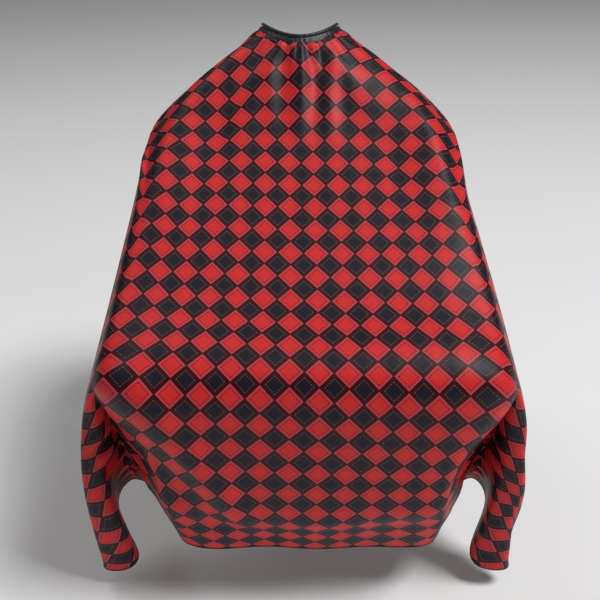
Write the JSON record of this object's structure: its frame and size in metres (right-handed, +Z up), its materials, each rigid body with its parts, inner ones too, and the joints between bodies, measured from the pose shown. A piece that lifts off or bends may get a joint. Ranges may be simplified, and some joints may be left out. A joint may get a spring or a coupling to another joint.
{
  "type": "barber cape",
  "caption": "Checked barber cape with a piped, snap-closed neckband, draped as over a seated client, with hanging front corners and an open back.",
  "frame": {"origin": "centre of the neckband's ring, where the wearer's neck passes", "axes": "+Z up along the neck, the wearer faces -Y, +X to the wearer's left"},
  "size_m": [0.659, 0.6617, 0.7942],
  "materials": {
    "printed_cloth": "satin",
    "black_satin": "satin",
    "elastic_tape": "matte",
    "snap_nickel": "satin",
    "label_satin": "matte"
  },
  "bodies": {
    "cape": {"cape_sheet": "printed_cloth", "edge_binding": "black_satin", "neckband_outer": "black_satin", "neckband_lining": "black_satin", "neck_piping": "black_satin", "neck_elastic": "elastic_tape", "snap_stud_1": "snap_nickel", "snap_stud_2": "snap_nickel", "snap_stud_3": "snap_nickel", "snap_stud_4": "snap_nickel", "snap_stud_5": "snap_nickel", "snap_back_1": "snap_nickel", "snap_back_2": "snap_nickel", "snap_back_3": "snap_nickel", "snap_back_4": "snap_nickel", "snap_back_5": "snap_nickel"},
    "tab": {"closure_tab": "black_satin", "snap_socket_1": "snap_nickel", "snap_socket_2": "snap_nickel", "snap_cap_1": "snap_nickel", "snap_cap_2": "snap_nickel"},
    "label": {"care_label": "label_satin"}
  },
  "joints": [
    {"name": "tab_peel", "type": "hinge", "parent": "cape", "child": "tab", "pos_m": [-0.01331, 0.06413, -0.02098], "axis": [0.0909, -0.4378, 0.8945], "range_deg": [0, 100]},
    {"name": "label_flip", "type": "hinge", "parent": "cape", "child": "label", "pos_m": [-0.03789, 0.15113, -0.31734], "axis": [0.9864, 0.0227, -0.1626], "range_deg": [-70, 70]}
  ]
}
